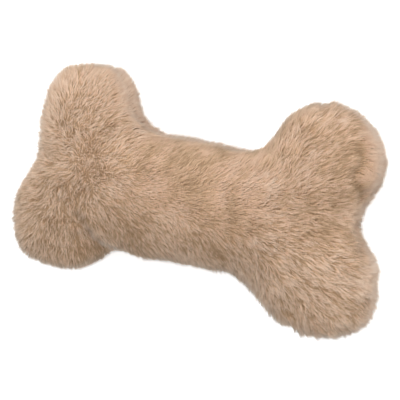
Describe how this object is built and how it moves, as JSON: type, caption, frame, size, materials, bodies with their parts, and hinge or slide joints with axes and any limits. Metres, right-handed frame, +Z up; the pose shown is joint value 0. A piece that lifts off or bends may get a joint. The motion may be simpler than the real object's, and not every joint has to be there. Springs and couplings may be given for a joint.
{
  "type": "plush squeaky dog toy",
  "caption": "Stuffed plush bone for a dog, sewn from a front and a back panel, filled with fibre, with a squeaker bladder and reed inside that sounds when squeezed.",
  "frame": {"origin": "under the middle of the toy's outline, on the surface that its back panel lies on", "axes": "+X along the bone, +Y across it towards its upper pair of lobes, +Z up through the front panel"},
  "size_m": [0.1995, 0.1162, 0.053],
  "materials": {
    "plush": "soft beige faux fur",
    "thread": "spun polyester",
    "fill": "loose fibre",
    "bladder": "soft translucent",
    "reed": "moulded"
  },
  "bodies": {
    "back_half": {"back_panel": "plush", "seam_needle_thread": "thread", "seam_bobbin_thread": "thread", "closing_stitch": "thread", "fill_shaft_back": "fill", "fill_lobe_upper_right": "fill", "fill_lobe_upper_left": "fill", "fill_lobe_lower_left": "fill", "fill_lobe_lower_right": "fill", "squeaker_bladder_bottom": "bladder", "reed_plug": "reed", "reed_bed": "reed", "reed_clip": "reed"},
    "front_half": {"front_panel": "plush", "fill_shaft_front": "fill"},
    "bladder": {"squeaker_bladder_top": "bladder"},
    "reed": {"reed_tongue": "reed"}
  },
  "joints": [
    {"name": "squeeze", "type": "slide", "parent": "back_half", "child": "front_half", "axis": [0, 0, -1], "range_m": [0, 0.012], "stiffness_N_per_m": 600, "deforming": ["front_panel", "fill_shaft_front"]},
    {"name": "bladder_press", "type": "slide", "parent": "back_half", "child": "bladder", "axis": [0, 0, -1], "range_m": [0, 0.0096], "deforming": ["squeaker_bladder_top"]},
    {"name": "reed_flutter", "type": "hinge", "parent": "back_half", "child": "reed", "pos_m": [0, -0.00432, 0.0148], "axis": [-1, 0, 0], "range_deg": [-1.5, 10], "stiffness_Nm_per_rad": 0.00005}
  ],
  "couplings": [
    {"joint": "bladder_press", "follows": "squeeze", "ratio": 0.8}
  ]
}
